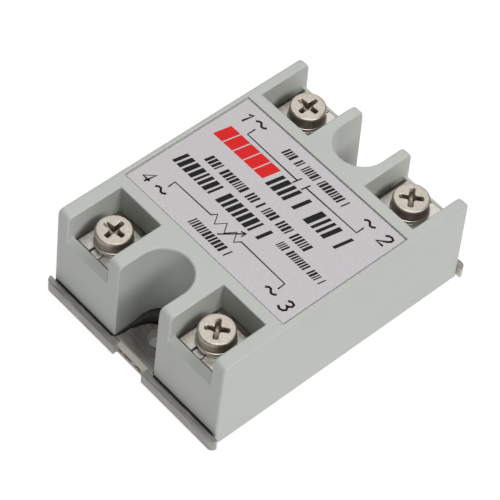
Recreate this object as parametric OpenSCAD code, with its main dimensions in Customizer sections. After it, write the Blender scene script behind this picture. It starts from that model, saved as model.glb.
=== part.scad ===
// Panel-mount solid state relay with four screw terminals on a metal base plate.
// The origin is the centre of the base plate's underside, and +Z is up.
// +Y points to the load end, with terminals 1 and 2, and -Y to the control end,
// with terminals 4 and 3. +X is the side of terminals 2 and 3.

/* [Base plate] */
// How far the plate sticks out past the foot of each end wall
plate_lip = 1.4; // [0.8:0.1:8]
// How far the plate's ends stand out past the housing's sides
ear_out = 0.8; // [0:0.1:1.5]
// Thickness of the plate
plate_t = 2.7; // [2:0.1:4]
// Radius of the plate's four outer corners
plate_corner_r = 1.2; // [0.4:0.1:2]
// Distance from the middle of each mounting hole to the end of the plate
hole_to_end = 7.7; // [5:0.1:9]
// Diameter of the mounting holes
hole_d = 4.5; // [3.2:0.1:6]
// Width of the shallow recess in the middle of each end edge
recess_w = 7.8; // [4:0.2:10]
// Depth of that recess
recess_d = 1; // [0.4:0.1:1.2]
// Bevel along the top of that recess
recess_bevel = 1; // [0.4:0.1:1.4]

/* [Housing] */
// Width across the long sides
housing_w = 45; // [42:0.5:60]
// Length at the foot of the end walls
housing_l = 60.2; // [58:0.1:80]
// Overall height, from the underside of the plate
housing_h = 22.2; // [18.5:0.1:30]
// How far each end wall leans in from foot to top
end_draft = 0.7; // [0:0.1:1.5]
// Rounding along the top of the end walls
end_round = 1.2; // [0.4:0.1:2]
// Gap between the foot of the end walls and the plate
seam = 0.3; // [0.2:0.05:0.6]
// Thickness of the side walls above the plate
side_wall = 2.4; // [2.2:0.1:2.8]
// Thickness of the side skirts that cover the plate's long edges
skirt_t = 1.4; // [1:0.1:1.6]
// Clearance between the skirts and the plate
skirt_gap = 0.1; // [0.05:0.05:0.3]
// Thickness of the roof over the circuit
roof_t = 1.6; // [1:0.1:2.4]
// Width of the notches that give access to the mounting holes
notch_w = 10.8; // [9:0.2:13]
// Wall between a notch and the hollow beside it
notch_wall = 1.8; // [1.2:0.1:2]

/* [Terminal bays] */
// Wall on each side of the bays at the load end
load_bay_wall = 2.2; // [1.6:0.1:3]
// Wall on each side of the bays at the control end
control_bay_wall = 3.05; // [2:0.05:4]
// Depth of the bays, from the sill to the back wall
bay_depth = 10.8; // [10:0.1:11.8]
// Thickness of the back walls
back_wall = 1.5; // [1.2:0.1:1.8]
// Thickness of the sill at its upper edge
sill_t = 1.3; // [0.8:0.1:1.6]
// Height of the sill's upper edge above the bay's floor
sill_h = 1.9; // [1:0.1:3]
// Slope of the bevel along the top of the sill
sill_slope = 43; // [20:1:60]
// Thickness of plastic left over the hollows under the bays
bay_floor = 1.5; // [1:0.1:2]

/* [Terminals] */
// Nominal diameter of the terminal screws
screw_d = 4; // [3:0.1:4.8]
// Length of the screws under the head
shank_l = 8; // [7:0.5:9]
// Diameter of the screw heads
head_d = 7; // [6:0.1:8]
// Thickness of the screw heads
head_t = 2.6; // [2:0.1:3]
// Depth of the heads' upper face below the top of the housing
head_below_top = 2; // [1:0.1:3]
// Length of a cross recess, end to end
cross_l = 4; // [3:0.1:4.6]
// Width of a cross recess
cross_w = 1; // [0.6:0.1:1.2]
// Depth of a cross recess
cross_depth = 1.6; // [1:0.1:2]
// Thickness of the spring washers
spring_t = 1; // [0.8:0.1:1.2]
// Outer diameter of the spring washers
spring_d = 7.4; // [6.8:0.1:7.8]
// Gap in the spring washers' ring
spring_cut = 0.7; // [0.4:0.1:1]
// Thickness of the clamp plates
clamp_t = 1; // [0.8:0.1:1.2]
// Depth of the clamp plates, front to back
clamp_depth = 9.2; // [8:0.1:9.6]
// Gap between the front edge of a clamp plate and the sill
clamp_front_gap = 0.1; // [0.05:0.05:0.5]
// Gap between a clamp plate and each side wall of its bay
clamp_side_gap = 1.1; // [0.4:0.1:1.2]
// Width of the little tab in a clamp plate's front edge
tab_w = 2.1; // [1:0.1:3]
// Length of that tab
tab_l = 1.8; // [1:0.1:1.9]
// How far that tab is pressed down
tab_drop = 0.2; // [0.1:0.05:0.4]
// Width of the slits beside that tab
slit_w = 0.25; // [0.15:0.05:0.4]
// Thickness of the terminal plates
pad_t = 1; // [0.8:0.1:1.2]
// Width of the terminal plates' necks, through the back walls
neck_w = 5; // [3:0.5:6]
// Width of the pins that go through the circuit board
pin_w = 2; // [1.5:0.1:3]
// Width across the flats of the captive nuts
nut_w = 7; // [6.5:0.1:8.4]
// Thickness of the captive nuts
nut_t = 3.2; // [2.4:0.1:3.4]
// Radial running clearance of the screws in their nuts and clamp plates
running_gap = 0.08; // [0.05:0.01:0.1]

/* [Label] */
// Length of the label recess along Y
label_l = 29.8; // [24:0.1:31]
// Rim left beside the label recess on each long side
label_rim = 1.1; // [0.6:0.1:3]
// Depth of the label recess
label_depth = 0.5; // [0.3:0.05:0.8]
// Thickness of the label
label_t = 0.2; // [0.1:0.05:0.25]
// Gap between the label and the edge of its recess
label_gap = 0.25; // [0.1:0.05:0.6]

/* [Circuit] */
// Thickness of the circuit board
board_t = 1.6; // [1:0.2:2]
// Clearance between the triac's fixing screw and the board
board_clearance = 0.25; // [0.2:0.05:1]
// Gap between the board and the walls around it
board_edge_gap = 0.6; // [0.3:0.1:1]
// Gap between the tallest parts on the board and the roof
roof_gap = 0.5; // [0.2:0.1:1]
// Diameter of the component leads
lead_d = 0.7; // [0.5:0.1:0.9]
// Length of triac case along X
triac_l = 20; // [18:0.5:24]
// Width of the triac case along Y
triac_w = 15.6; // [14:0.2:18.8]
// Thickness of the triac case, with its heat spreader
triac_t = 4.9; // [4.2:0.1:5.9]
// Thickness of the triac's copper heat spreader
spreader_t = 2; // [1.5:0.1:2.2]
// Width of the triac's leads
triac_lead_w = 1.2; // [0.8:0.1:1.4]
// Thickness of the triac's leads
triac_lead_t = 0.6; // [0.4:0.1:0.8]
// Distance between the triac's leads
triac_lead_pitch = 5.45; // [4:0.05:5.5]
// Thickness of the grease under the triac
grease_t = 0.15; // [0.1:0.05:0.3]
// Diameter of the triac's fixing screw
fixing_d = 3; // [2.5:0.1:3.6]
// Diameter of that screw's head
fixing_head_d = 5; // [4.6:0.1:6]
// Thickness of that screw's head
fixing_head_t = 0.8; // [0.6:0.1:1.2]
// Diameter of the washer under that head
fixing_washer_d = 6; // [5:0.1:7]
// Thickness of that washer
fixing_washer_t = 0.4; // [0.3:0.1:0.8]
// Thickness of the timing capacitor
timing_c_w = 5; // [3:0.5:6]
// Length of the timing capacitor
timing_c_l = 13; // [12:0.5:15]
// Thickness of the snubber capacitor
snubber_c_w = 5.6; // [4:0.1:5.6]
// Length of the snubber capacitor
snubber_c_l = 18; // [16:0.5:20]
// Diameter of the snubber resistor
snubber_r_d = 4; // [2.4:0.1:4.8]
// Length of the snubber resistor
snubber_r_l = 10; // [6:0.5:12]
// Diameter of the gate resistor
gate_r_d = 2.4; // [1.8:0.1:3]
// Length of the gate resistor
gate_r_l = 6.3; // [3:0.1:8]
// Diameter of the diac
diac_d = 1.9; // [1.5:0.1:3]
// Length of the diac
diac_l = 4; // [3:0.1:6]
// Thickness of the varistor
varistor_t = 3; // [2:0.1:4]
// Width of the sealing adhesive under the housing's walls
bead_w = 0.9; // [0.6:0.1:1.2]

/* [Hidden] */
TERMINALS = [1, 2, 3, 4];

$fn = 48;
eps = 0.01;   // overshoot of a cut past the face it opens

// Heights, from the plate up and from the top of the housing down
foot_z = plate_t + seam;
head_top_z = housing_h - head_below_top;
head_bottom_z = head_top_z - head_t;
clamp_top_z = head_bottom_z - spring_t;
pad_top_z = clamp_top_z - clamp_t;
bay_floor_z = pad_top_z - pad_t;
nut_bottom_z = bay_floor_z - nut_t;
shank_end_z = head_bottom_z - shank_l;
shank_room = 0.6;                                       // free depth under a screw's end
well_bottom_z = min(shank_end_z - shank_room, nut_bottom_z);
hollow_top_z = well_bottom_z - bay_floor;               // hollows under the bays
cavity_top_z = housing_h - label_depth - roof_t;        // hollow over the circuit
triac_z = plate_t + grease_t;
fixing_head_z = triac_z + triac_t + fixing_washer_t;
board_bottom_z = fixing_head_z + fixing_head_t + board_clearance;
board_top_z = board_bottom_z + board_t;
part_room = cavity_top_z - board_top_z - roof_gap;      // free height over the board

// Plan positions
plate_l = housing_l + 2 * plate_lip;
plate_w = housing_w + 2 * ear_out;
notch_r = notch_w / 2;
hole_y = plate_l / 2 - hole_to_end;
bay_room = housing_w / 2 - notch_r;                     // notch to the housing's side
terminal_x = notch_r + bay_room / 2;
load_bay_w = bay_room - 2 * load_bay_wall;
control_bay_w = bay_room - 2 * control_bay_wall;
wall_inside_x = housing_w / 2 - side_wall;
skirt_inside_x = housing_w / 2 - skirt_t;
sill_in_y = housing_l / 2 - end_draft - sill_t;
bay_back_y = sill_in_y - bay_depth;
screw_y = sill_in_y - clamp_front_gap - clamp_depth / 2;
cavity_y = bay_back_y - back_wall;
ear_gap = 0.1;                                          // plate's wide ends to the skirts
ear_d = plate_lip - ear_gap;
plate_mid_w = 2 * (skirt_inside_x - skirt_gap);
screw_clearance = 0.2;                                  // radial, in plain holes
tapped_floor = 0.4;                                     // plate left under the blind hole

// The circuit's own places
board_l = 2 * (wall_inside_x - board_edge_gap);
board_w = 2 * (cavity_y - board_edge_gap);
pin_inset = 2;                                          // board's edge to the terminal pins
pin_y = board_w / 2 - pin_inset;
lead_reach = 0.7;                                       // leads past the board's faces
lead_end_z = board_bottom_z - lead_reach;
triac_x = -3;                                           // centre of the triac's case
fixing_inset = 4;                                       // case's end to its fixing screw
fixing_x = triac_x - triac_l / 2 + fixing_inset;
triac_lead_run = 3;                                     // case's end to the upright leads
triac_lead_x = triac_x + triac_l / 2 + triac_lead_run;
spreader_lip = 1;                                       // plastic beside the copper

// The side of each terminal: [x sign, y sign, width of its bay, turn of its cross recess]
function side(n) = [[-1, 1, load_bay_w, 5], [1, 1, load_bay_w, 40],
                    [1, -1, control_bay_w, 40], [-1, -1, control_bay_w, 8]][n - 1];

// Puts a shape made for the +X, +Y corner at terminal n
module at_terminal(n) {
    s = side(n);
    translate([s[0] * terminal_x, s[1] * screw_y, 0]) rotate([0, 0, s[1] > 0 ? 0 : 180]) children();
}

// Extrudes a YZ outline along X, centred
module along_x(width) {
    rotate([90, 0, 90]) linear_extrude(width, center = true) children();
}

// Square in plan with its lower face at z
module block(x, y, z, w, d, h) {
    translate([x - w / 2, y - d / 2, z]) cube([w, d, h]);
}

// ---- Housing ----

// Block of the housing, its end walls leaning in and rounded over at the top
module housing_block() {
    lean = atan(end_draft / housing_h);
    round_z = housing_h - end_round;
    round_y = housing_l / 2 - end_draft * round_z / housing_h - end_round / cos(lean);
    wall_y = round_y + end_round * cos(lean);
    wall_z = round_z + end_round * sin(lean);
    along_x(housing_w) {
        polygon([[-housing_l / 2, 0], [housing_l / 2, 0], [wall_y, wall_z], [round_y, housing_h],
                 [-round_y, housing_h], [-wall_y, wall_z]]);
        for (y = [-1, 1]) translate([y * round_y, round_z]) circle(end_round);
    }
}

// Outline of the notch at the +Y end, widened by a margin
module notch_outline(margin = 0) {
    reach = plate_l;
    translate([0, hole_y]) circle(r = notch_r + margin);
    translate([-notch_r - margin, hole_y]) square([2 * (notch_r + margin), reach]);
}

// Terminal bay, open at the top and at the end above the bevelled sill
module bay_pocket(bay_w) {
    back = bay_back_y - screw_y;
    sill_in = sill_in_y - screw_y;
    out = housing_l / 2 - screw_y + 1;
    sill_top_z = bay_floor_z + sill_h;
    over = housing_h + 1;
    along_x(bay_w)
        polygon([[back, bay_floor_z], [sill_in, bay_floor_z], [sill_in, sill_top_z],
                 [out, sill_top_z - (out - sill_in) * tan(sill_slope)], [out, over], [back, over]]);
}

// Seat of the captive nut and free depth for the end of the screw
module nut_seat() {
    seat_gap = 0.1;
    translate([0, 0, nut_bottom_z])
        rotate([0, 0, 30]) cylinder(d = (nut_w + 2 * seat_gap) / cos(30), h = nut_t + eps, $fn = 6);
    translate([0, 0, well_bottom_z])
        cylinder(d = screw_d + 4 * screw_clearance, h = bay_floor_z - well_bottom_z);
}

// Slot in the back wall for the neck of a terminal plate
module neck_slot() {
    slot_gap = 0.1;
    block(0, cavity_y - screw_y + back_wall / 2, bay_floor_z - eps,
          neck_w + 2 * slot_gap, back_wall + 2 * eps, pad_t + slot_gap + eps);
}

// Hollows under the bays, one in each corner, open to the middle
module corner_hollow() {
    inner_x = notch_r + notch_wall;
    translate([inner_x, cavity_y - eps, -eps])
        cube([wall_inside_x - inner_x, sill_in_y - cavity_y + eps, hollow_top_z + eps]);
}

module housing() {
    color("gainsboro") difference() {
        housing_block();
        block(0, 0, -eps, 2 * skirt_inside_x, plate_l, foot_z + eps);
        block(0, 0, -eps, 2 * wall_inside_x, 2 * cavity_y, cavity_top_z + eps);
        block(0, 0, housing_h - label_depth, housing_w - 2 * label_rim, label_l, label_depth + eps);
        for (turn = [0, 180]) rotate([0, 0, turn])
            translate([0, 0, -eps]) linear_extrude(housing_h + 1) notch_outline();
        for (x = [0, 1], y = [0, 1]) mirror([x, 0, 0]) mirror([0, y, 0]) corner_hollow();
        for (n = TERMINALS) at_terminal(n) {
            bay_pocket(side(n)[2]);
            nut_seat();
            neck_slot();
        }
    }
}

// Bead of adhesive between the foot of the housing and the plate
module sealing_adhesive() {
    inset = 0.45;   // from the visible faces of the end walls and notches
    outer_l = housing_l - 2 * inset;
    color("dimgray") translate([0, 0, plate_t]) linear_extrude(seam) difference() {
        square([plate_mid_w, outer_l], center = true);
        difference() {
            square([plate_mid_w - 2 * bead_w, outer_l - 2 * bead_w], center = true);
            for (turn = [0, 180]) rotate(turn) notch_outline(inset + bead_w);
        }
        for (turn = [0, 180]) rotate(turn) notch_outline(inset);
    }
}

// ---- Base plate ----

// Rectangle with rounded corners, centred
module rounded_sheet(w, l, r) {
    square([w, l - 2 * r], center = true);
    square([w - 2 * r, l], center = true);
    for (x = [-1, 1], y = [-1, 1]) translate([x * (w / 2 - r), y * (l / 2 - r)]) circle(r);
}

// The plate fits between the skirts, and is full width where it shows past the housing
module plate_outline() {
    intersection() {
        rounded_sheet(plate_w, plate_l, plate_corner_r);
        union() {
            square([plate_mid_w, plate_l], center = true);
            for (y = [-1, 1]) translate([0, y * (plate_l - ear_d) / 2])
                square([plate_w, ear_d], center = true);
        }
    }
}

// Shallow recess in an end edge, with a bevel down to it
module edge_recess() {
    depth_y = plate_l / 2 - recess_d;
    bevel_z = plate_t - recess_bevel;
    outside_y = plate_l / 2 + eps;
    along_x(recess_w)
        polygon([[depth_y, -eps], [outside_y, -eps], [outside_y, plate_t + eps],
                 [depth_y - recess_bevel - eps, plate_t + eps], [depth_y, bevel_z]]);
}

module base_plate() {
    color("darkgray") difference() {
        linear_extrude(plate_t) plate_outline();
        for (turn = [0, 180]) rotate([0, 0, turn]) {
            translate([0, hole_y, -eps]) cylinder(d = hole_d, h = plate_t + 2 * eps);
            edge_recess();
        }
        translate([fixing_x, 0, tapped_floor]) cylinder(d = fixing_d, h = plate_t);
    }
}

// ---- Label ----

module label() {
    color("thistle")
        block(0, 0, housing_h - label_depth, housing_w - 2 * (label_rim + label_gap),
              label_l - 2 * label_gap, label_t);
}

// ---- Terminals ----

// Plate under the clamp, with a neck through the back wall and a pin down to the board
module terminal_plate(n) {
    pad_gap = 0.15;
    bay_w = side(n)[2];
    back = bay_back_y - screw_y;
    front = sill_in_y - screw_y;
    leg_y = pin_y - screw_y;
    color("goldenrod") at_terminal(n) difference() {
        union() {
            block(0, (back + front) / 2, bay_floor_z,
                  bay_w - 2 * pad_gap, front - back - 2 * pad_gap, pad_t);
            translate([-neck_w / 2, leg_y - pad_t / 2, bay_floor_z])
                cube([neck_w, back - leg_y + pad_t / 2 + 2 * pad_gap, pad_t]);
            block(0, leg_y, board_top_z, neck_w, pad_t, bay_floor_z - board_top_z + eps);
            block(0, leg_y, lead_end_z, pin_w, pad_t, board_top_z - lead_end_z + eps);
        }
        translate([0, 0, bay_floor_z - eps])
            cylinder(d = screw_d + 2 * screw_clearance, h = pad_t + 2 * eps);
    }
}

module terminal_nut(n) {
    color("silver") at_terminal(n) translate([0, 0, nut_bottom_z]) difference() {
        rotate([0, 0, 30]) cylinder(d = nut_w / cos(30), h = nut_t, $fn = 6);
        translate([0, 0, -eps]) cylinder(d = screw_d + 2 * running_gap, h = nut_t + 2 * eps);
    }
}

// Square clamp plate with a tab between two slits in its front edge
module clamp_plate(n) {
    clamp_w = side(n)[2] - 2 * clamp_side_gap;
    front = clamp_depth / 2;
    color("silver") at_terminal(n) translate([0, 0, pad_top_z]) difference() {
        block(0, 0, 0, clamp_w, clamp_depth, clamp_t);
        translate([0, 0, -eps]) cylinder(d = screw_d + 2 * running_gap, h = clamp_t + 2 * eps);
        for (side = [-1, 1])
            block(side * (tab_w + slit_w) / 2, front - tab_l / 2 + eps, -eps,
                  slit_w, tab_l, clamp_t + 2 * eps);
        block(0, front - tab_l / 2 + eps, clamp_t - tab_drop, tab_w + eps, tab_l, clamp_t);
    }
}

module spring_washer(n) {
    color("gray") at_terminal(n) translate([0, 0, clamp_top_z]) difference() {
        cylinder(d = spring_d, h = spring_t);
        translate([0, 0, -eps]) cylinder(d = screw_d + 2 * screw_clearance, h = spring_t + 2 * eps);
        rotate([0, 0, -50]) block(spring_d / 2, 0, -eps, spring_d, spring_cut, spring_t + 2 * eps);
    }
}

module terminal_screw(n) {
    color("lightgray") at_terminal(n) difference() {
        union() {
            translate([0, 0, head_bottom_z]) cylinder(d = head_d, h = head_t);
            translate([0, 0, shank_end_z]) cylinder(d = screw_d, h = shank_l + eps);
        }
        for (turn = [0, 90]) rotate([0, 0, side(n)[3] + turn])
            block(0, 0, head_top_z - cross_depth, cross_l, cross_w, cross_depth + eps);
    }
}

// ---- Circuit ----

// Places of the two leads of each part, from the board's ends and middle
timing_at = [for (y = [4.5, -5.5]) [6.5 - board_l / 2, y]];
snubber_at = [[-4, 9.2], [11, 9.2]];
snubber_r_at = [[-5.5, 1.5], [7.5, 1.5]];
gate_r_at = [[-5, -3.5], [5, -3.5]];
diac_at = [[-4, -8.5], [3.6, -8.5]];
varistor_at = [[board_l / 2 - 8.5, -10.5], [board_l / 2 - 3.5, -5.5]];
two_lead_parts = concat(timing_at, snubber_at, snubber_r_at, gate_r_at, diac_at, varistor_at);

// Places of the triac's three leads, in a row along Y
triac_leads_at = [for (i = [-1, 0, 1]) [triac_lead_x, i * triac_lead_pitch]];

module circuit_board() {
    hole_play = 0.15;
    slot_play = 0.2;
    color("darkgreen") difference() {
        block(0, 0, board_bottom_z, board_l, board_w, board_t);
        for (p = two_lead_parts) translate([p[0], p[1], 0])
            cylinder(d = lead_d + 2 * hole_play, h = housing_h);
        for (p = triac_leads_at) block(p[0], p[1], 0, triac_lead_t + 2 * slot_play,
                                       triac_lead_w + 2 * slot_play, housing_h);
        for (n = TERMINALS) at_terminal(n)
            block(0, pin_y - screw_y, 0, pin_w + 2 * slot_play, pad_t + 2 * slot_play, housing_h);
    }
}

// Cone of solder under the board around a lead
module solder_cone(top_d, hole_w, hole_d) {
    fillet_h = 0.6;
    taper = 0.75;
    difference() {
        translate([0, 0, board_bottom_z - fillet_h])
            cylinder(d1 = top_d * taper, d2 = top_d, h = fillet_h);
        block(0, 0, 0, hole_w, hole_d, housing_h);
    }
}

module solder_joints() {
    round_pad = 2.2;
    triac_pad = 2.9;
    pin_pad = 4;
    color("silver") {
        for (p = two_lead_parts) translate([p[0], p[1], 0]) difference() {
            solder_cone(round_pad, eps, eps);
            cylinder(d = lead_d, h = housing_h);
        }
        for (p = triac_leads_at) translate([p[0], p[1], 0])
            solder_cone(triac_pad, triac_lead_t, triac_lead_w);
        for (n = TERMINALS) at_terminal(n) translate([0, pin_y - screw_y, 0])
            solder_cone(pin_pad, pin_w, pad_t);
    }
}

module triac_case() {
    color("dimgray") difference() {
        block(triac_x, 0, triac_z + spreader_t, triac_l, triac_w, triac_t - spreader_t);
        translate([fixing_x, 0, 0]) cylinder(d = fixing_d + 2 * screw_clearance, h = housing_h);
    }
}

module triac_heat_spreader() {
    color("peru") difference() {
        block(triac_x, 0, triac_z, triac_l, triac_w - 2 * spreader_lip, spreader_t);
        translate([fixing_x, 0, 0]) cylinder(d = fixing_d + 2 * screw_clearance, h = housing_h);
    }
}

// Three flat leads that leave the end of the case and turn up through the board
module triac_leads() {
    over_spreader = 0.4;
    lead_z = triac_z + spreader_t + over_spreader;
    case_end_x = triac_x + triac_l / 2;
    color("silver") for (p = triac_leads_at) translate([0, p[1] - triac_lead_w / 2, 0]) {
        translate([case_end_x, 0, lead_z])
            cube([triac_lead_x - case_end_x + triac_lead_t / 2, triac_lead_w, triac_lead_t]);
        translate([triac_lead_x - triac_lead_t / 2, 0, lead_z])
            cube([triac_lead_t, triac_lead_w, board_top_z + lead_reach - lead_z]);
    }
}

module thermal_grease() {
    inset = 0.5;   // from the edges of the copper
    color("white") difference() {
        block(triac_x, 0, plate_t, triac_l - 2 * inset, triac_w - 2 * (spreader_lip + inset), grease_t);
        translate([fixing_x, 0, 0]) cylinder(d = fixing_d + 2 * inset, h = housing_h);
    }
}

module triac_screw_washer() {
    color("silver") translate([fixing_x, 0, triac_z + triac_t]) difference() {
        cylinder(d = fixing_washer_d, h = fixing_washer_t);
        translate([0, 0, -eps]) cylinder(d = fixing_d + 2 * screw_clearance, h = fixing_washer_t + 2 * eps);
    }
}

module triac_screw() {
    end_z = tapped_floor + 0.2;
    color("silver") translate([fixing_x, 0, 0]) {
        translate([0, 0, fixing_head_z]) cylinder(d = fixing_head_d, h = fixing_head_t);
        translate([0, 0, end_z]) cylinder(d = fixing_d, h = fixing_head_z - end_z + eps);
    }
}

// Box-shaped film capacitor standing on the board between two leads
module film_capacitor(at, w, d) {
    mid = (at[0] + at[1]) / 2;
    block(mid[0], mid[1], board_top_z, w, d, part_room);
    for (p = at) translate([p[0], p[1], lead_end_z])
        cylinder(d = lead_d, h = board_top_z - lead_end_z + eps);
}

// Part lying along X, its wires bent down into the board
module axial_part(at, body_d, body_l) {
    axis_z = board_top_z + body_d / 2;
    mid = (at[0] + at[1]) / 2;
    span = at[1][0] - at[0][0];
    translate([mid[0], mid[1], axis_z]) rotate([0, 90, 0]) {
        cylinder(d = body_d, h = body_l, center = true);
        cylinder(d = lead_d, h = span + lead_d, center = true);
    }
    for (p = at) translate([p[0], p[1], lead_end_z]) cylinder(d = lead_d, h = axis_z - lead_end_z);
}

module timing_capacitor() {
    color("maroon") film_capacitor(timing_at, timing_c_w, timing_c_l);
}

module snubber_capacitor() {
    color("gold") film_capacitor(snubber_at, snubber_c_l, snubber_c_w);
}

module snubber_resistor() {
    color("lightblue") axial_part(snubber_r_at, snubber_r_d, snubber_r_l);
}

module gate_resistor() {
    color("tan") axial_part(gate_r_at, gate_r_d, gate_r_l);
}

module diac() {
    color("steelblue") axial_part(diac_at, diac_d, diac_l);
}

// Disc varistor standing on edge across the corner of the board
module varistor() {
    stand_off = 0.3;
    disc_d = part_room - stand_off;
    mid = (varistor_at[0] + varistor_at[1]) / 2;
    color("royalblue") {
        translate([mid[0], mid[1], board_top_z + stand_off + disc_d / 2]) rotate([0, 90, -45])
            cylinder(d = disc_d, h = varistor_t, center = true);
        for (p = varistor_at) translate([p[0], p[1], lead_end_z])
            cylinder(d = lead_d, h = board_top_z - lead_end_z + disc_d / 2);
    }
}

housing();
base_plate();
sealing_adhesive();
label();
circuit_board();
solder_joints();
triac_case();
triac_heat_spreader();
triac_leads();
thermal_grease();
triac_screw();
triac_screw_washer();
timing_capacitor();
snubber_capacitor();
snubber_resistor();
gate_resistor();
diac();
varistor();
for (n = TERMINALS) {
    terminal_plate(n);
    terminal_nut(n);
    clamp_plate(n);
    spring_washer(n);
    terminal_screw(n);
}
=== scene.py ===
import math
import random

import bmesh
import bpy
from mathutils import Matrix, Vector


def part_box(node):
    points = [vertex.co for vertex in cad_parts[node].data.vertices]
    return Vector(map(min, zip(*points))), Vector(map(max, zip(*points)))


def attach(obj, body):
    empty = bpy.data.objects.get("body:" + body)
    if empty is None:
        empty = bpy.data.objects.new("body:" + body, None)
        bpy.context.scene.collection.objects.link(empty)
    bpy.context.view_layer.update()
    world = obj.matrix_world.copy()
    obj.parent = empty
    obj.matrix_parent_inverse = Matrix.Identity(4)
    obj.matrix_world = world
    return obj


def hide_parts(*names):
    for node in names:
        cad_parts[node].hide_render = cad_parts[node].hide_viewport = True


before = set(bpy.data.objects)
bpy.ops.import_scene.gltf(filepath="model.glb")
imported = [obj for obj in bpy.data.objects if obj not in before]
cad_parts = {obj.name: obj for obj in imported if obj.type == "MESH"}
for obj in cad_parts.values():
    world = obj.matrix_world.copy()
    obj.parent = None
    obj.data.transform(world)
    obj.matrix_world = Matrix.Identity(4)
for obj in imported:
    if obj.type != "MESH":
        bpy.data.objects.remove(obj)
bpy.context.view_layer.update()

# ---- Base plate ----
# The relay stands on a plate of rolled aluminium, sheared to length and punched for two
# mounting screws. Shearing leaves the top edge pulled round and the lower edge sharp.
mm = 0.001


def linear(hex_colour):
    """An sRGB hex value as linear red, green, blue and alpha."""
    parts = [int(hex_colour[i:i + 2], 16) / 255 for i in (1, 3, 5)]
    return [c / 12.92 if c <= 0.04045 else ((c + 0.055) / 1.055) ** 2.4 for c in parts] + [1.0]


def add(tree, kind, inputs=None, **settings):
    """Adds a node. Its inputs are values, or sockets to link from."""
    node = tree.nodes.new(kind)
    for key, value in settings.items():
        setattr(node, key, value)
    for key, value in (inputs or {}).items():
        if isinstance(value, bpy.types.NodeSocket):
            tree.links.new(value, node.inputs[key])
        else:
            node.inputs[key].default_value = value
    return node


def finish_of(name, dark, light, patch, rough, metallic=0.0, grain=0.2, relief=0.0, along=1.0,
              **shader):
    """A material with colour and gloss that vary over patches of a size in metres. The size of
    its grain and the height of its relief are in millimetres. Patches and grain are drawn out
    along X by the factor along, for a rolled surface."""
    material = bpy.data.materials.new(name)
    material.use_nodes = True
    tree = material.node_tree
    surface = tree.nodes["Principled BSDF"]
    place = add(tree, "ShaderNodeMapping", {
        "Vector": add(tree, "ShaderNodeTexCoord").outputs["Object"],
        "Scale": (1 / along, 1, 1)}).outputs["Vector"]
    cloud = add(tree, "ShaderNodeTexNoise", {"Vector": place, "Scale": 1 / patch, "Detail": 4.0})
    ramp = add(tree, "ShaderNodeMapRange", {
        "Value": cloud.outputs["Fac"], "From Min": 0.3, "From Max": 0.7})
    tint = add(tree, "ShaderNodeMix", {
        "Factor": ramp.outputs["Result"], "A": linear(dark), "B": linear(light)}, data_type="RGBA")
    gloss = add(tree, "ShaderNodeMapRange", {
        "Value": cloud.outputs["Fac"], "From Min": 0.3, "From Max": 0.7,
        "To Min": rough[0], "To Max": rough[1]})
    fine = add(tree, "ShaderNodeTexNoise", {
        "Vector": place, "Scale": 1 / (grain * mm), "Detail": 2.0})
    bump = add(tree, "ShaderNodeBump", {
        "Height": fine.outputs["Fac"], "Strength": 1.0, "Distance": relief * mm})
    tree.links.new(tint.outputs["Result"], surface.inputs["Base Color"])
    tree.links.new(gloss.outputs["Result"], surface.inputs["Roughness"])
    tree.links.new(bump.outputs["Normal"], surface.inputs["Normal"])
    surface.inputs["Metallic"].default_value = metallic
    for key, value in shader.items():
        surface.inputs[key.replace("_", " ")].default_value = value
    return material


def shown(name, mesh, material):
    """Puts a mesh in the scene as a piece with one material."""
    piece = bpy.data.objects.new(name, mesh)
    bpy.context.scene.collection.objects.link(piece)
    mesh.materials.clear()
    mesh.materials.append(material)
    return piece


def settled(piece):
    """Turns a piece and its modifiers into a plain mesh."""
    bpy.context.view_layer.update()
    graph = bpy.context.evaluated_depsgraph_get()
    mesh = bpy.data.meshes.new_from_object(piece.evaluated_get(graph))
    piece.modifiers.clear()
    piece.data = mesh
    return piece


def eased(piece, width_at, segments=3, smooth=35):
    """Rounds each sharp edge by the width that width_at gives for its middle and its run, all
    in millimetres."""
    shape = bmesh.new()
    shape.from_mesh(piece.data)
    weight = shape.edges.layers.float.new("bevel_weight_edge")
    widest = 0.0
    widths = {}
    for edge in shape.edges:
        if len(edge.link_faces) == 2 and edge.calc_face_angle(0) > math.radians(25):
            middle = (edge.verts[0].co + edge.verts[1].co) / 2 / mm
            run = (edge.verts[1].co - edge.verts[0].co) / mm
            widths[edge] = width_at(middle, run)
            widest = max(widest, widths[edge])
    for edge, width in widths.items():
        edge[weight] = width / widest
    shape.to_mesh(piece.data)
    shape.free()
    bevel = piece.modifiers.new("eased edges", "BEVEL")
    bevel.limit_method = "WEIGHT"
    bevel.width = widest * mm
    bevel.segments = segments
    bevel.use_clamp_overlap = False
    piece.data.shade_smooth()
    settled(piece)
    piece.data.set_sharp_from_angle(angle=math.radians(smooth))
    piece.modifiers.new("flat faces stay flat", "WEIGHTED_NORMAL").keep_sharp = True
    return settled(piece)


screw_low, screw_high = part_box("terminal_screw_2")
screw_x, screw_y = ((screw_low + screw_high) / 2).xy
centre_lines = [((x, 0, 0), (1, 0, 0)) for x in (-screw_x, 0, screw_x)]
centre_lines += [((0, y, 0), (0, 1, 0)) for y in (-screw_y, 0, screw_y)]


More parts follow.
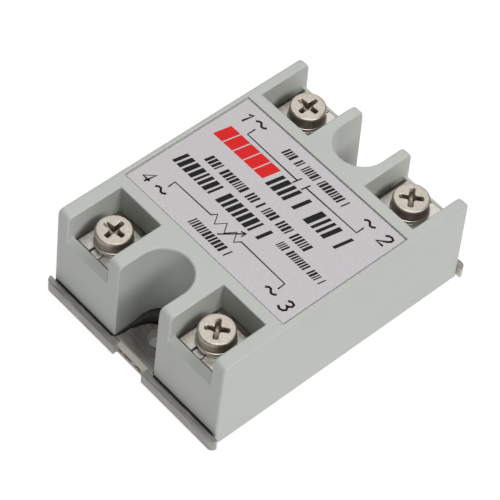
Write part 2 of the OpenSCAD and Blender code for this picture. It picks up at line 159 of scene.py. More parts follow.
def copy_of(node, name, material):
    """A separate piece from a CAD node's mesh. Its triangles are merged into whole faces, which
    stay cut along the centre lines of the holes, so that no face goes round a hole."""
    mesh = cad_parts[node].data.copy()
    shape = bmesh.new()
    shape.from_mesh(mesh)
    bmesh.ops.remove_doubles(shape, verts=shape.verts, dist=0.002 * mm)
    for point, across in centre_lines:
        cut = bmesh.ops.bisect_plane(shape, geom=shape.verts[:] + shape.edges[:] + shape.faces[:],
                                     dist=0.001 * mm, plane_co=point, plane_no=across)
        for element in cut["geom_cut"]:
            if isinstance(element, bmesh.types.BMEdge):
                element.seam = True
    bmesh.ops.dissolve_limit(shape, angle_limit=math.radians(0.5), verts=shape.verts,
                             edges=shape.edges, delimit={"SEAM"})
    shape.to_mesh(mesh)
    shape.free()
    if "custom_normal" in mesh.attributes:
        mesh.attributes.remove(mesh.attributes["custom_normal"])
    return shown(name, mesh, material)


# Rolled aluminium, dull from handling: drawn-out streaks light and dark, and a broad soft shine
plate_metal = finish_of("rolled_aluminium", "#7D7B77", "#B1AEA9", 0.45 * mm, (0.5, 0.62), metallic=1.0,
                        grain=0.16, relief=0.02, along=9)
plate_top = 2.7 * mm
hole_y = 23.8 * mm               # middle of the plate to each mounting hole
# Rust-brown dirt caught along the recess in each end: it takes the shine off in ragged spots
tree = plate_metal.node_tree
surface = tree.nodes["Principled BSDF"]
place = add(tree, "ShaderNodeTexCoord").outputs["Object"]
folded = add(tree, "ShaderNodeVectorMath", {0: place}, operation="ABSOLUTE")
dirt_middle = (1.6 * mm, 30.5 * mm, 1.2 * mm)
dirt_shape = (0.22, 1, 1)        # below 1 draws the dirty strip out along that axis
from_edge = add(tree, "ShaderNodeVectorMath", {0: folded.outputs[0], 1: dirt_middle},
                operation="SUBTRACT")
drawn_out = add(tree, "ShaderNodeVectorMath", {0: from_edge.outputs[0], 1: dirt_shape},
                operation="MULTIPLY")
nearness = add(tree, "ShaderNodeVectorMath", {0: drawn_out.outputs[0]}, operation="LENGTH")
reach = add(tree, "ShaderNodeMapRange", {
    "Value": nearness.outputs["Value"], "From Min": 0.25 * mm, "From Max": 1.1 * mm,
    "To Min": 0.34, "To Max": -0.4})
spots = add(tree, "ShaderNodeTexNoise", {"Vector": place, "Scale": 1 / (0.9 * mm), "Detail": 4.0})
dirt = add(tree, "ShaderNodeMapRange", {"Value": add(tree, "ShaderNodeMath", {
    0: spots.outputs["Fac"], 1: reach.outputs["Result"]}).outputs[0], "From Min": 0.66, "From Max": 0.8})
# Painted shade: the plate is painted darker brown in the notches, round the mounting holes, where the
# notch walls shade it
from_hole = add(tree, "ShaderNodeVectorMath", {0: folded.outputs[0], 1: (0, hole_y, plate_top)},
                operation="DISTANCE")
notch_shade = add(tree, "ShaderNodeMapRange", {
    "Value": from_hole.outputs["Value"], "From Min": 7.2 * mm, "From Max": 4.5 * mm, "To Max": 0.6})
notch_shaded = add(tree, "ShaderNodeMix", {
    "Factor": notch_shade.outputs["Result"], "B": linear("#3E3631"),
    "A": surface.inputs["Base Color"].links[0].from_socket}, data_type="RGBA")
# The sheared and pressed faces below the top are torn bright, and scatter light like frost
torn = add(tree, "ShaderNodeMapRange", {
    "Value": add(tree, "ShaderNodeSeparateXYZ", {"Vector": place}).outputs["Z"],
    "From Min": 2.66 * mm, "From Max": 2.5 * mm})
along_x = add(tree, "ShaderNodeMapping", {"Vector": place, "Scale": (0.07, 1, 1)})
streaks = add(tree, "ShaderNodeTexNoise", {
    "Scale": 1 / (0.3 * mm), "Detail": 3.0, "Vector": along_x.outputs[0]})
bright = add(tree, "ShaderNodeMix", {
    "Factor": streaks.outputs["Fac"], "A": linear("#605E5A"), "B": linear("#CFCCC7")},
    data_type="RGBA")
# Painted highlight: the pressed slope of each recess, and the faces below the top inward of it, are
# painted near white for the light the slope catches
slope_highlight = add(tree, "ShaderNodeMapRange", {
    "Value": add(tree, "ShaderNodeSeparateXYZ", {"Vector": folded.outputs[0]}).outputs["Y"],
    "From Min": 30.48 * mm, "From Max": 30.4 * mm, "To Max": 0.5})
bright = add(tree, "ShaderNodeMix", {
    "Factor": slope_highlight.outputs["Result"], "A": bright.outputs["Result"], "B": linear("#FBF6EC")},
    data_type="RGBA")
clean = add(tree, "ShaderNodeMix", {
    "Factor": torn.outputs["Result"], "A": notch_shaded.outputs["Result"], "B": bright.outputs["Result"]},
    data_type="RGBA")
dirty = add(tree, "ShaderNodeMix", {
    "Factor": dirt.outputs["Result"], "A": clean.outputs["Result"], "B": linear("#4C2620")},
    data_type="RGBA")
duller = add(tree, "ShaderNodeMath", {0: dirt.outputs["Result"], 1: torn.outputs["Result"]},
             operation="MAXIMUM")
bare = add(tree, "ShaderNodeMapRange", {"Value": duller.outputs[0], "To Min": 1.0, "To Max": 0.35})
tree.links.new(dirty.outputs["Result"], surface.inputs["Base Color"])
tree.links.new(bare.outputs["Result"], surface.inputs["Metallic"])


def plate_edges(middle, _run):
    """Pulled round along the top of the sheared ends, left as it is at the plate's wide ends."""
    ears_from, end_from, upper_from = 20.9, 30.6, 2.4
    x, y, z = abs(middle.x), abs(middle.y), middle.z
    if x > ears_from:
        return 0.0
    return 0.45 if z > upper_from and y > end_from else 0.12


plate = eased(copy_of("base_plate", "base_plate_eased", plate_metal), plate_edges)
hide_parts("base_plate")
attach(plate, "enclosure")

# ---- Sealing adhesive ----
# A bead of black silicone fills the seam between the foot of the housing and the plate.
# Silicone rubber, squeezed out and cured: deep black, dull, with a soft lumpy skin
silicone = finish_of("black_silicone", "#080808", "#161514", 0.5 * mm, (0.55, 0.75),
                     grain=0.35, relief=0.08)
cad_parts["sealing_adhesive"].data.materials.clear()
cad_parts["sealing_adhesive"].data.materials.append(silicone)


def tree_of(name, sizes):
    """A new Geometry Nodes tree with a geometry input and output, and named inputs for sizes."""
    tree = bpy.data.node_groups.new(name, "GeometryNodeTree")
    tree.interface.new_socket("Geometry", in_out="INPUT", socket_type="NodeSocketGeometry")
    for size, kind in sizes:
        tree.interface.new_socket(size, in_out="INPUT", socket_type=kind)
    tree.interface.new_socket("Geometry", in_out="OUTPUT", socket_type="NodeSocketGeometry")
    return tree, add(tree, "NodeGroupInput").outputs


def grown(piece, tree, values, last, material):
    """Ends the tree in real, painted geometry, runs it on the piece and keeps the mesh."""
    real = add(tree, "GeometryNodeRealizeInstances", {"Geometry": last})
    painted = add(tree, "GeometryNodeSetMaterial", {"Geometry": real.outputs[0], "Material": material})
    add(tree, "NodeGroupOutput", {"Geometry": painted.outputs[0]})
    modifier = piece.modifiers.new(tree.name, "NODES")
    modifier.node_group = tree
    sockets = {s.name: s.identifier for s in tree.interface.items_tree if s.in_out == "INPUT"}
    for name, value in values.items():
        modifier[sockets[name]] = value
    return settled(piece)


# Where the moulding is pressed down, the bead is squeezed out along the foot of each notch,
# thin at the mouth and wide behind the mounting hole. Its wide black part is partly painted
# shade: it also stands for the deep shade at the back of each notch.
notch_r, notch_y, foot_y = 5.4, hole_y / mm, 29.9
leave = 0.8                      # the wide part of the bead lies this far out from the wall
notch_foot = [(-notch_r, foot_y)]
for a in (math.radians(step) for step in range(0, 181, 12)):
    out = notch_r - leave * math.sin(a)
    notch_foot.append((-out * math.cos(a), notch_y - out * math.sin(a)))
notch_foot.append((notch_r, foot_y))
bead_tree, bead_in = tree_of("squeezed bead", [
    ("Thin", "NodeSocketFloat"), ("Wide", "NodeSocketFloat"), ("Flatness", "NodeSocketFloat"),
    ("Plate top", "NodeSocketFloat"), ("Raggedness", "NodeSocketFloat"),
    ("Lumps in a metre", "NodeSocketFloat")])
foot = add(bead_tree, "GeometryNodeMeshToCurve", {"Mesh": bead_in["Geometry"]})
foot = add(bead_tree, "GeometryNodeResampleCurve", {"Curve": foot.outputs[0], "Count": 90})
way = add(bead_tree, "ShaderNodeMath", {
    0: add(bead_tree, "GeometryNodeSplineParameter").outputs["Factor"], 1: math.pi},
    operation="MULTIPLY")
arch = add(bead_tree, "ShaderNodeMath", {0: way.outputs[0]}, operation="SINE")
swell = add(bead_tree, "ShaderNodeMath", {0: arch.outputs[0], 1: 1.7}, operation="POWER")
radius = add(bead_tree, "ShaderNodeMapRange", {
    "Value": swell.outputs[0], "To Min": bead_in["Thin"], "To Max": bead_in["Wide"]})
round_bead = add(bead_tree, "GeometryNodeCurvePrimitiveCircle", {"Resolution": 14, "Radius": 1.0})
bead = add(bead_tree, "GeometryNodeCurveToMesh",
           {"Curve": foot.outputs[0], "Profile Curve": round_bead.outputs["Curve"],
            "Scale": radius.outputs["Result"], "Fill Caps": True})
lumps = add(bead_tree, "ShaderNodeTexNoise", {"Scale": bead_in["Lumps in a metre"], "Detail": 3.0})
either_way = add(bead_tree, "ShaderNodeVectorMath", {0: lumps.outputs["Color"], 1: (0.5, 0.5, 0.5)},
                 operation="SUBTRACT")
push = add(bead_tree, "ShaderNodeVectorMath", {
    0: either_way.outputs[0], "Scale": bead_in["Raggedness"]}, operation="SCALE")
ragged = add(bead_tree, "GeometryNodeSetPosition", {
    "Geometry": bead.outputs[0], "Offset": push.outputs[0]})
spot = add(bead_tree, "ShaderNodeSeparateXYZ", {
    "Vector": add(bead_tree, "GeometryNodeInputPosition").outputs[0]})
above = add(bead_tree, "ShaderNodeMath", {0: spot.outputs["Z"], 1: bead_in["Plate top"]},
            operation="SUBTRACT")
low = add(bead_tree, "ShaderNodeMath", {0: above.outputs[0], 1: bead_in["Flatness"]},
          operation="MULTIPLY")
resting = add(bead_tree, "ShaderNodeMath", {0: low.outputs[0], 1: 0.0}, operation="MAXIMUM")
lifted = add(bead_tree, "ShaderNodeMath", {0: resting.outputs[0], 1: bead_in["Plate top"]})
pressed = add(bead_tree, "GeometryNodeSetPosition", {
    "Geometry": ragged.outputs[0], "Position": add(bead_tree, "ShaderNodeCombineXYZ", {
        "X": spot.outputs["X"], "Y": spot.outputs["Y"], "Z": lifted.outputs[0]}).outputs[0]})
# A thinner bead shows along the foot of each end wall, from the notch to the corner.
corner_x, wall_y = 21.9, 30.08
wall_foot = [(notch_r + 0.3, wall_y), (corner_x, wall_y)]
# Name, paths, thin and wide radius, flatness, raggedness and lump size, in millimetres
# The squeezed bead's wide black part is partly painted shade, for the deep shade at the back of each
# notch
beads = [("squeezed_adhesive_and_notch_shade", [notch_foot], 0.3, 2.4, 0.9, 0.9, 1.3),
         ("seam_adhesive", [wall_foot, [(-x, y) for x, y in wall_foot]], 0.24, 0.24, 1.0, 0.3, 0.7)]
for name, feet, thin, wide, flatness, raggedness, lump in beads:
    points, links = [], []
    for path in [[(x, end * y) for x, y in foot] for foot in feet for end in (-1, 1)]:
        links += [(len(points) + k, len(points) + k + 1) for k in range(len(path) - 1)]
        points += [(x * mm, y * mm, plate_top) for x, y in path]
    mesh = bpy.data.meshes.new(name)
    mesh.from_pydata(points, links, [])
    tree = bead_tree.copy()
    last = [n for n in tree.nodes if n.bl_idname == "GeometryNodeSetPosition"][-1].outputs[0]
    bead = grown(shown(name, mesh, silicone), tree,
                 {"Thin": thin * mm, "Wide": wide * mm, "Flatness": flatness,
                  "Plate top": plate_top, "Raggedness": raggedness * mm,
                  "Lumps in a metre": 1 / (lump * mm)}, last, silicone)
    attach(bead, "enclosure")

# ---- Housing ----
# One moulding in light grey glass-filled PBT. The mould was spark eroded, which leaves an
# even matt grain, and its edges are eased where it was polished by hand.
# Moulded polyester: an even cool grey with a low satin shine, and a grain too fine to count
housing_plastic = finish_of("moulded_grey_PBT", "#B4B7B1", "#BABCB7", 16 * mm, (0.42, 0.5),
                            grain=0.14, relief=0.006, IOR=1.55)


def housing_edges(middle, _run):
    """Widest down the sides, the notches and the sills, fine round the label, none inside."""
    label_x, label_y, recess_z, roof_z = 21.6, 15.1, 21.4, 22
    foot_z, side_x, end_y = 3.4, 22.2, 29.8
    notch_x, sill_y, sill_z, bay_z = 5.6, 27, 17, 14.8
    x, y, z = abs(middle.x), abs(middle.y), middle.z
    if x < label_x and y < label_y and z > recess_z:
        return 0.1 if z > roof_z else 0.0
    if z < foot_z:
        return 0.15 if x > side_x or y > end_y else 0.0
    if x > side_x:
        return 0.5
    if x < notch_x or y > sill_y and z > sill_z:
        return 0.45
    return 0.25 if z > bay_z else 0.0


housing = eased(copy_of("housing", "housing_eased", housing_plastic), housing_edges)
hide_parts("housing")
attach(housing, "enclosure")

# ---- Circuit ----
# Everything on the board is sealed inside the housing. Each part keeps its modelled shape
# and gets the finish that such a part has.
# Each row: nodes, finish, dark and light colour, patch in millimetres, roughness, metallic.
# Laminate and lacquers are smooth and glossy, moulded epoxy is matt black, tin and zinc are
# bright, copper is red, and the terminal plates are painted dull dark brown as painted shade.
circuit_finishes = [
    (["circuit_board"], "glass_epoxy_laminate", "#1E5A32", "#28703F", 3, (0.3, 0.42), 0.0),
    (["solder_joints"], "tin_solder", "#BDBDBA", "#D2D2CE", 1, (0.2, 0.4), 1.0),
    (["triac_case"], "epoxy_moulding_compound", "#1A1A1B", "#262628", 2, (0.5, 0.65), 0.0),
    (["triac_heat_spreader"], "bare_copper", "#B4704F", "#C98661", 3, (0.25, 0.4), 1.0),
    (["triac_leads"], "tinned_copper", "#B9B6AF", "#CBC8C1", 3, (0.3, 0.45), 1.0),
    # Painted shade: the terminal plates are painted dark brown for the shade beside the bay walls and
    # under the clamps
    ([f"terminal_plate_{n}" for n in (1, 2, 3, 4)],
     "shade_darkened_nickel_plated_brass", "#57514A", "#7B746A", 2, (0.4, 0.55), 1.0),
    (["thermal_grease"], "thermal_grease", "#E2E2DE", "#F0F0EC", 1, (0.3, 0.5), 0.0),
    (["triac_screw", "triac_screw_washer"] + [f"terminal_nut_{n}" for n in (1, 2, 3, 4)],
     "zinc_plated_steel", "#B0B0AC", "#C6C6C2", 2, (0.25, 0.4), 1.0),
    (["timing_capacitor"], "dipped_red_epoxy", "#6E1A14", "#7F231B", 2, (0.15, 0.25), 0.0),
    (["snubber_capacitor"], "yellow_polyester_box", "#D2A52A", "#DDB440", 4, (0.3, 0.4), 0.0),
    (["snubber_resistor"], "blue_lacquer", "#6F9CC0", "#83AED0", 2, (0.15, 0.25), 0.0),
    (["gate_resistor"], "tan_lacquer", "#C9A678", "#D8B88D", 2, (0.15, 0.25), 0.0),
    (["diac"], "painted_glass_bead", "#2C5594", "#3A66A8", 1, (0.1, 0.2), 0.0),
    (["varistor"], "dipped_blue_epoxy", "#1B3C8C", "#26499C", 2, (0.15, 0.25), 0.0),
]
for nodes, name, dark, light, patch, rough, metallic in circuit_finishes:
    material = finish_of(name, dark, light, patch * mm, rough, metallic, grain=0.2, relief=0.008)
    for node in nodes:
        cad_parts[node].data.materials.clear()
        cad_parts[node].data.materials.append(material)

# ---- Label ----
# A satin polyester film, printed in black and red and stuck into a shallow recess in the
# roof. The print is plain: terminal numbers, wiring lines, and rows of bars for its words.
# Silvery grey film with a soft sheen that spreads a lamp's reflection
label_film = finish_of("satin_polyester_film", "#BAB6B9", "#C3BFC2", 0.5 * mm, (0.32, 0.42),
                       grain=0.3, relief=0.004)


def label_edges(middle, run):
    """A hair's width round the top of the film and down its corners."""
    film_upper_z, upright = 21.85, 0.1
    return 0.06 if middle.z > film_upper_z or abs(run.z) > upright else 0.0


label = eased(copy_of("label", "label_film_sheet", label_film), label_edges, 2)
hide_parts("label")
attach(label, "enclosure")

film_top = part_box("label")[1].z
ink_thickness = 0.02 * mm
slant = 0.2                      # the print leans to the right by this share of its height
# Screen ink dries flat and dull, so that it stays dark or red where the film round it shines
black_ink = finish_of("black_screen_ink", "#0B0A0B", "#151314", 0.6 * mm, (0.55, 0.7),
                      grain=0.2, relief=0.004, Specular_IOR_Level=0.25)
red_ink = finish_of("red_screen_ink", "#D01416", "#DC1E1E", 0.6 * mm, (0.55, 0.7),
                    grain=0.2, relief=0.004, Specular_IOR_Level=0.25)

# Each figure is one stroke of the pen, in a box about one unit wide and one and a half high
figures = {
    "1": [(-.3, .42), (.1, .75), (.1, -.75)],
    "2": [(-.48, .38), (-.36, .66), (0, .78), (.36, .66), (.46, .36), (.3, .02), (-.5, -.75),
          (.52, -.75)],
    "3": [(-.45, .56), (-.1, .78), (.32, .68), (.44, .38), (.22, .1), (-.08, .03), (.27, -.05),
          (.48, -.35), (.36, -.66), (-.02, -.78), (-.48, -.58)],
    "4": [(.22, -.75), (.22, .75), (-.52, -.32), (.52, -.32)],
    "~": [(-.75, -.12), (-.5, .16), (-.22, .18), (.22, -.18), (.5, -.16), (.75, .12)],
}
marks = [("1", -17.8, 11.5), ("2", 19.0, 11.8), ("3", 18.6, -11.7), ("4", -18.3, -11.7),
         ("~", -14.9, 12.4), ("~", 14.5, 12.2), ("~", 14.5, -11.6), ("~", -14.7, -12.0)]
figure_scale = 1.7               # millimetres to a unit of the figures
strokes = [[(x + figure_scale * (u + slant * v), y + figure_scale * v) for u, v in figures[name]]
           for name, x, y in marks]
# Wiring lines: the two load leads with their contact bars, then the control leads with the
# zigzag of the resistor, and the arrow across it.
strokes += [
    [(-14.8, 10.8), (-14.8, 8.9), (-1.0, 8.7)], [(-1.2, 7.7), (-0.8, 9.7)],
    [(1.2, 8.8), (14.5, 8.9), (14.5, 10.7)], [(1.0, 7.8), (1.4, 9.8)],
    [(-14.4, -10.5), (-14.5, -8.8), (-4.8, -8.7), (-4.1, -7.7), (-2.8, -9.6), (-1.5, -7.7),
     (-0.2, -9.6), (1.1, -7.7), (2.4, -9.6), (3.2, -8.5), (14.9, -8.7), (15.0, -10.4)],
    [(-0.8, -10.7), (2.4, -6.6)], [(1.4, -7.0), (2.4, -6.6), (2.3, -7.7)],
]

pen_tree, pen_in = tree_of("pen strokes", [
    ("Pen width", "NodeSocketFloat"), ("Ink thickness", "NodeSocketFloat")])
path = add(pen_tree, "GeometryNodeMeshToCurve", {"Mesh": pen_in["Geometry"]})
level = add(pen_tree, "GeometryNodeSetCurveNormal", {"Curve": path.outputs[0]}, mode="Z_UP")
nib = add(pen_tree, "GeometryNodeCurvePrimitiveQuadrilateral",
          {"Width": pen_in["Pen width"], "Height": pen_in["Ink thickness"]})
drawn = add(pen_tree, "GeometryNodeCurveToMesh",
            {"Curve": level.outputs[0], "Profile Curve": nib.outputs[0], "Fill Caps": True})
figure_pen, line_pen = 0.48, 0.3
for name, group, pen in (("printed_figures", strokes[:len(marks)], figure_pen),
                         ("printed_lines", strokes[len(marks):], line_pen)):
    points, links = [], []
    for stroke in group:
        links += [(len(points) + i, len(points) + i + 1) for i in range(len(stroke) - 1)]
        points += [(x * mm, y * mm, film_top + ink_thickness / 2) for x, y in stroke]
    mesh = bpy.data.meshes.new(name)
    mesh.from_pydata(points, links, [])
    tree = pen_tree.copy()
    last = [n for n in tree.nodes if n.bl_idname == "GeometryNodeCurveToMesh"][0].outputs[0]
    printed = grown(shown(name, mesh, black_ink), tree,
                    {"Pen width": pen * mm, "Ink thickness": ink_thickness}, last, black_ink)
    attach(printed, "enclosure")

# Rows of words: left end, right end, middle height, letter height, letter width and its ink
word_rows = [
    (-7.6, 9.0, 11.75, 1.9, 0.95), (-15.1, 12.5, -0.3, 2.0, 1.05), (-18.5, 6.4, -4.3, 3.2, 1.75),
    (7.6, 18.7, -3.4, 1.7, 0.85), (-6.0, 3.9, -12.1, 1.9, 1.0), (-3.9, 3.2, 5.6, 3.8, 1.9),
    (6.6, 16.4, 5.4, 4.0, 2.3),
]
bar_tree, bar_in = tree_of("word bars", [("Slant", "NodeSocketFloat")])
bar = add(bar_tree, "GeometryNodeMeshCube")
size_of = add(bar_tree, "GeometryNodeInputNamedAttribute", {"Name": "size"}, data_type="FLOAT_VECTOR")
places = add(bar_tree, "GeometryNodeMeshToPoints", {"Mesh": bar_in["Geometry"]})
set_out = add(bar_tree, "GeometryNodeInstanceOnPoints", {
    "Points": places.outputs[0], "Instance": bar.outputs["Mesh"], "Scale": size_of.outputs[0]})
bars = add(bar_tree, "GeometryNodeRealizeInstances", {"Geometry": set_out.outputs[0]})
spot = add(bar_tree, "ShaderNodeSeparateXYZ", {
    "Vector": add(bar_tree, "GeometryNodeInputPosition").outputs[0]})
line_y = add(bar_tree, "GeometryNodeInputNamedAttribute", {"Name": "line"}, data_type="FLOAT")
rise = add(bar_tree, "ShaderNodeMath", {0: spot.outputs["Y"], 1: line_y.outputs[0]},
           operation="SUBTRACT")
lean = add(bar_tree, "ShaderNodeMath", {0: rise.outputs[0], 1: bar_in["Slant"]},
           operation="MULTIPLY")
leaning = add(bar_tree, "GeometryNodeSetPosition",
              {"Geometry": bars.outputs[0],
               "Offset": add(bar_tree, "ShaderNodeCombineXYZ", {"X": lean.outputs[0]}).outputs[0]})


def printed_bars(name, letters, material):
    """Prints a slanted bar for each letter: middle x and y, width and height in millimetres."""
    mesh = bpy.data.meshes.new(name)
    middle_z = film_top + ink_thickness / 2
    mesh.from_pydata([(x * mm, y * mm, middle_z) for x, y, w, h in letters], [], [])
    size = mesh.attributes.new("size", "FLOAT_VECTOR", "POINT")
    size.data.foreach_set("vector", [v for x, y, w, h in letters
                                     for v in (w * mm, h * mm, ink_thickness)])
    line = mesh.attributes.new("line", "FLOAT", "POINT")
    line.data.foreach_set("value", [y * mm for x, y, w, h in letters])
    tree = bar_tree if material is black_ink else bar_tree.copy()
    last = [n for n in tree.nodes if n.bl_idname == "GeometryNodeSetPosition"][0]
    piece = grown(shown(name, mesh, material), tree, {"Slant": slant}, last.outputs[0], material)
    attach(piece, "enclosure")


red_blocks, red_w, red_h, red_x, red_y, red_step = 5, 2.5, 3.8, -17.3, 6.0, 2.78
printed_bars("printed_red_block",
             [(red_x + red_step * k, red_y, red_w, red_h) for k in range(red_blocks)], red_ink)
# As shares of a letter's width: the gap after a word, the gap after a letter, and the least
# room that another letter needs. Words are 4 to 6 letters long and letters differ in width.
word_gap, letter_gap, least_room = 0.7, 0.26, 0.6
word_lengths, bar_shares = (4, 5, 6), (0.3, 0.45, 0.62)
draw = random.Random(7)
letters = []
for left, right, y, height, width in word_rows:
    x, count = left, 0
    while x < right - least_room * width:
        if count and count % draw.choice(word_lengths) == 0:
            x += word_gap * width
        bar_w = width * draw.choice(bar_shares)
        letters.append((x + bar_w / 2, y, bar_w, height))
        x += bar_w + letter_gap * width
        count += 1
printed_bars("printed_words", letters, black_ink)

# ---- Clamp plates ----
# Square washers pressed from steel strip and nickel plated. A tab between two slits in the
# front edge is bent down a little, to hold a thin wire.
# Nickel over pressed strip: pale and silky, a little uneven where the press marked it
clamp_metal = finish_of("nickel_plated_pressed_steel", "#B9B5AE", "#D8D5CD", 0.8 * mm, (0.36, 0.5),
                        metallic=1.0, grain=0.4, relief=0.02)


def clamp_edges(middle, _run):
    """Rounded on top, but not where the tab bends down."""
    upper_z, bend_y, bend_reach, tab_x = 16.35, 26.2, 0.2, 1.5
    by_tab = (abs(middle.x) - screw_x / mm < tab_x
              and abs(abs(middle.y) - bend_y) < bend_reach)
    return 0.12 if middle.z > upper_z and not by_tab else 0.0


for n in (1, 2, 3, 4):
    clamp = eased(copy_of(f"clamp_plate_{n}", f"clamp_plate_{n}_eased", clamp_metal), clamp_edges, 2)
    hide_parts(f"clamp_plate_{n}")
    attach(clamp, f"clamp_{n}")

# ---- Spring washers ----
# Split rings coiled from square steel wire and nickel plated. Each lies flattened between
# its screw's head and the clamp plate, its two ends a little apart.
# Nickel over hardened wire: darker and sharper in its shine than the plates
spring_steel = finish_of("nickel_plated_spring_steel", "#9A958C", "#B4AFA5", 2 * mm, (0.3, 0.45),
                         metallic=1.0, grain=0.2, relief=0.012)
ring_tree, ring_in = tree_of("split ring", [
    ("Radius", "NodeSocketFloat"), ("Wire width", "NodeSocketFloat"),
    ("Wire height", "NodeSocketFloat"), ("Opening", "NodeSocketFloat"),
    ("Turn", "NodeSocketFloat"), ("Place", "NodeSocketVector")])
sweep = add(ring_tree, "ShaderNodeMath", {0: 2 * math.pi, 1: ring_in["Opening"]}, operation="SUBTRACT")
arc = add(ring_tree, "GeometryNodeCurveArc", {
    "Resolution": 72, "Radius": ring_in["Radius"], "Start Angle": ring_in["Turn"],
    "Sweep Angle": sweep.outputs[0]})
flat = add(ring_tree, "GeometryNodeSetCurveNormal", {"Curve": arc.outputs[0]}, mode="Z_UP")
wire = add(ring_tree, "GeometryNodeCurvePrimitiveQuadrilateral",
           {"Width": ring_in["Wire width"], "Height": ring_in["Wire height"]})
coil = add(ring_tree, "GeometryNodeCurveToMesh",
           {"Curve": flat.outputs[0], "Profile Curve": wire.outputs[0], "Fill Caps": True})
seated = add(ring_tree, "GeometryNodeTransform", {
    "Geometry": coil.outputs[0], "Translation": ring_in["Place"]})
split_turns = {1: 2.6, 2: 4.0, 3: 3.4, 4: 3.9}   # where each ring's split points, in radians
split_opening = 0.2                              # angle left open, in radians
bore = 4.4 * mm
for n in (1, 2, 3, 4):
    low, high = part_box(f"spring_washer_{n}")
    across = high.x - low.x
    ring = shown(f"spring_washer_{n}_coiled", bpy.data.meshes.new("ring"), spring_steel)
    tree = ring_tree.copy()
    last = [node for node in tree.nodes if node.bl_idname == "GeometryNodeTransform"][0].outputs[0]
    grown(ring, tree, {"Radius": (across + bore) / 4, "Wire width": (across - bore) / 2,
                       "Wire height": high.z - low.z, "Opening": split_opening,
                       "Turn": split_turns[n], "Place": (low + high) / 2}, last, spring_steel)
    ring.modifiers.new("worn corners", "BEVEL").width = 0.12 * mm
    settled(ring)
    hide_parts(f"spring_washer_{n}")
    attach(ring, f"clamp_{n}")

# ---- Terminal screws ----
# M4 cheese-head screws with a cross recess, cold headed and thread rolled from steel, then
# nickel plated. The head's upper edge and the mouth of the recess are pulled round.
# Nickel over cold-headed steel: warm and soft in its shine, with small dents from handling
screw_metal = finish_of("nickel_plated_steel", "#B0A89D", "#CCC5BA", 0.5 * mm, (0.4, 0.52),
                        metallic=1.0, grain=0.3, relief=0.028)
# Painted shade and reflection: the head is painted darker brown down its side and in the recess, for the
# dark bay walls its side reflects and the shade in the recess
tree = screw_metal.node_tree
surface = tree.nodes["Principled BSDF"]
place = add(tree, "ShaderNodeTexCoord").outputs["Object"]
height = add(tree, "ShaderNodeSeparateXYZ", {"Vector": place}).outputs["Z"]
head_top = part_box("terminal_screw_1")[1].z
under = add(tree, "ShaderNodeMapRange", {
    "Value": height, "From Min": head_top - 0.1 * mm, "From Max": head_top - 0.9 * mm,
    "To Min": 0.0, "To Max": 0.75})
clean = surface.inputs["Base Color"].links[0].from_socket
head_shaded = add(tree, "ShaderNodeMix", {
    "Factor": under.outputs["Result"], "A": clean, "B": linear("#6F6155")}, data_type="RGBA")
tree.links.new(head_shaded.outputs["Result"], surface.inputs["Base Color"])
recess_turns = {1: 5, 2: 40, 3: 40, 4: 8}        # how far each cross is turned, in degrees


def cross_outline(arm, half, fillet, turn):
    """The outline of a cross, anticlockwise, from the half length and half width of its arms,
    the fillet between them and its turn in degrees."""
    corner = 0.45 * half
    quarter = [(arm - corner, -half), (arm, corner - half), (arm, half - corner),
               (arm - corner, half), (half + fillet, half),
               (half + 0.3 * fillet, half + 0.3 * fillet), (half, half + fillet)]
    outline = []
    for k in range(4):
        angle = math.radians(turn + 90 * k)
        outline += [(x * math.cos(angle) - y * math.sin(angle),
                     x * math.sin(angle) + y * math.cos(angle)) for x, y in quarter]
    return outline


thread_tree, thread_in = tree_of("rolled thread", [
    ("Middle radius", "NodeSocketFloat"), ("Ridge", "NodeSocketFloat"), ("Turns", "NodeSocketFloat"),
    ("Length", "NodeSocketFloat"), ("Place", "NodeSocketVector")])
winding = add(thread_tree, "GeometryNodeCurveSpiral", {
    "Resolution": 24, "Rotations": thread_in["Turns"], "Start Radius": thread_in["Middle radius"],
    "End Radius": thread_in["Middle radius"], "Height": thread_in["Length"]})
ridge = add(thread_tree, "GeometryNodeCurvePrimitiveCircle", {
    "Resolution": 4, "Radius": thread_in["Ridge"]})
thread = add(thread_tree, "GeometryNodeCurveToMesh", {
    "Curve": winding.outputs[0], "Profile Curve": ridge.outputs["Curve"], "Fill Caps": True})
placed = add(thread_tree, "GeometryNodeTransform", {
    "Geometry": thread.outputs[0], "Translation": thread_in["Place"]})
both = add(thread_tree, "GeometryNodeJoinGeometry", {"Geometry": placed.outputs[0]})
thread_tree.links.new(thread_in["Geometry"], both.inputs["Geometry"])

# Millimetres. Each level of the recess: half length and half width of the arms, fillet, depth
recess_levels = ((2.32, 0.56, 0.4, 0.0), (2.22, 0.48, 0.36, 0.1), (1.95, 0.44, 0.34, 0.8),
                 (1.0, 0.34, 0.3, 1.6))
pit_depth = 1.75
head_h, head_sides = 2.6, 64
edge_r, under_edge = 0.4, 0.12   # rounding over the head, and chamfer under it
neck_r, core_r, neck_h = 1.75, 1.6, 0.3
point_r, point_h = 1.3, 0.4
pitch, thread_turns = 0.7, 9
thread_r, ridge_r, thread_from = 1.72, 0.28, 0.6

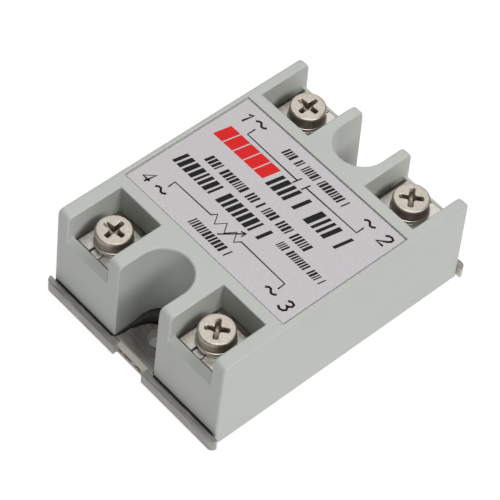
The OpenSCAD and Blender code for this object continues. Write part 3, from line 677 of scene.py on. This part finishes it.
for n in (1, 2, 3, 4):
    low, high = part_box(f"terminal_screw_{n}")
    centre, head_r = (low + high) / 2, (high.x - low.x) / 2 / mm
    top, end = high.z / mm, low.z / mm
    shape = bmesh.new()

    def ring_of(points, z):
        return [shape.verts.new((centre.x + x * mm, centre.y + y * mm, z * mm)) for x, y in points]

    def joined(first, second):
        for i in range(len(first)):
            j = (i + 1) % len(first)
            shape.faces.new((first[i], first[j], second[j], second[i]))

    recess = [ring_of(cross_outline(arm, half, fillet, recess_turns[n]), top - depth)
              for arm, half, fillet, depth in recess_levels]
    for first, second in zip(recess, recess[1:]):
        joined(first, second)
    pit = shape.verts.new((centre.x, centre.y, (top - pit_depth) * mm))
    for i in range(len(recess[-1])):
        shape.faces.new((recess[-1][i], recess[-1][(i + 1) % len(recess[-1])], pit))
    under_z = top - head_h
    profile = [(head_r - edge_r * (1 - math.sin(a)), top - edge_r * (1 - math.cos(a)))
               for a in (math.radians(15 * k) for k in range(7))]
    profile += [(head_r, under_z + under_edge), (head_r - under_edge, under_z), (neck_r, under_z),
                (core_r, under_z - neck_h), (core_r, end + point_h), (point_r, end)]
    circle = [(math.cos(2 * math.pi * k / head_sides), math.sin(2 * math.pi * k / head_sides))
              for k in range(head_sides)]
    rings = [ring_of([(r * x, r * y) for x, y in circle], z) for r, z in profile]
    for first, second in zip(rings, rings[1:]):
        joined(second, first)
    shape.faces.new(rings[-1])
    edges = [shape.edges.get((loop[i], loop[(i + 1) % len(loop)])) or
             shape.edges.new((loop[i], loop[(i + 1) % len(loop)]))
             for loop in (recess[0], rings[0]) for i in range(len(loop))]
    bmesh.ops.triangle_fill(shape, use_beauty=True, edges=edges, normal=(0, 0, 1))
    bmesh.ops.recalc_face_normals(shape, faces=shape.faces)
    mesh = bpy.data.meshes.new("screw")
    shape.to_mesh(mesh)
    shape.free()
    mesh.shade_smooth()
    mesh.set_sharp_from_angle(angle=math.radians(35))
    tree = thread_tree.copy()
    last = [node for node in tree.nodes if node.bl_idname == "GeometryNodeJoinGeometry"][0].outputs[0]
    screw = grown(shown(f"terminal_screw_{n}_plated", mesh, screw_metal), tree, {
        "Middle radius": thread_r * mm, "Ridge": ridge_r * mm, "Turns": float(thread_turns),
        "Length": thread_turns * pitch * mm,
        "Place": (centre.x, centre.y, low.z + thread_from * mm)}, last, screw_metal)
    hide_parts(f"terminal_screw_{n}")
    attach(screw, f"screw_{n}")

# ---- Floor, light and camera ----
# A pale light table that glows under the relay, one soft lamp overhead, one on the right and
# a larger, weaker one behind on the left, and a long lens above the corner of terminal 3.
scene = bpy.context.scene
scene.view_settings.view_transform = "Standard"
floor_mesh = bpy.data.meshes.new("floor")
floor_half = 3.0
floor_mesh.from_pydata([(-floor_half, -floor_half, 0), (floor_half, -floor_half, 0),
                        (floor_half, floor_half, 0), (-floor_half, floor_half, 0)], [],
                       [(0, 1, 2, 3)])
floor_mesh.transform(Matrix.Translation((0, 0, -0.05 * mm)))
# Acrylic lit from below: it looks white, and takes no dark shadow
table_top = finish_of("lit_acrylic", "#5A5A5A", "#5E5E5E", 0.5, (0.6, 0.7), grain=5)
glow = table_top.node_tree.nodes["Principled BSDF"].inputs
glow["Emission Color"].default_value = (1, 1, 1, 1)
glow["Emission Strength"].default_value = 0.9
shown("floor", floor_mesh, table_top)
# Painted shadow: a darker, unlit patch of table right under the relay, which shows through its holes
shade_mesh = bpy.data.meshes.new("floor_under_relay")
half_w, half_l = 22 * mm, 30.2 * mm
shade_mesh.from_pydata([(x, y, -0.02 * mm) for x, y in (
    (-half_w, -half_l), (half_w, -half_l), (half_w, half_l), (-half_w, half_l))], [], [(0, 1, 2, 3)])
shaded_top = finish_of("shaded_acrylic", "#8A8B88", "#8E8F8C", 0.5, (0.6, 0.7))
shown("floor_under_relay", shade_mesh, shaded_top)

world = bpy.data.worlds.new("studio")
world.use_nodes = True
world.node_tree.nodes["Background"].inputs["Color"].default_value = (1, 1, 1, 1)
world.node_tree.nodes["Background"].inputs["Strength"].default_value = 0.1
scene.world = world


def lamp(name, azimuth, elevation, distance, size, power):
    """A square soft lamp that faces the relay from a direction given in degrees."""
    light = bpy.data.lights.new(name, "AREA")
    light.size = size
    light.energy = power
    a, e = math.radians(azimuth), math.radians(elevation)
    back = Vector((math.sin(a) * math.cos(e), -math.cos(a) * math.cos(e), math.sin(e)))
    holder = bpy.data.objects.new(name, light)
    scene.collection.objects.link(holder)
    holder.location = back * distance
    holder.rotation_euler = back.to_track_quat("Z", "Y").to_euler()


lamp("overhead", azimuth=30, elevation=82, distance=0.9, size=0.35, power=3.5)
lamp("right side", azimuth=96, elevation=40, distance=0.9, size=0.3, power=3.7)
lamp("back left", azimuth=222, elevation=50, distance=0.9, size=0.7, power=2.3)

camera_data = bpy.data.cameras.new("camera")
camera_data.sensor_width = 36
camera_data.lens = 176.14
camera = bpy.data.objects.new("camera", camera_data)
camera.location = (0.18813, -0.20019, 0.36264)
camera.rotation_euler = [math.radians(a) for a in (37.688, -3.756, 48.458)]
scene.collection.objects.link(camera)
scene.camera = camera
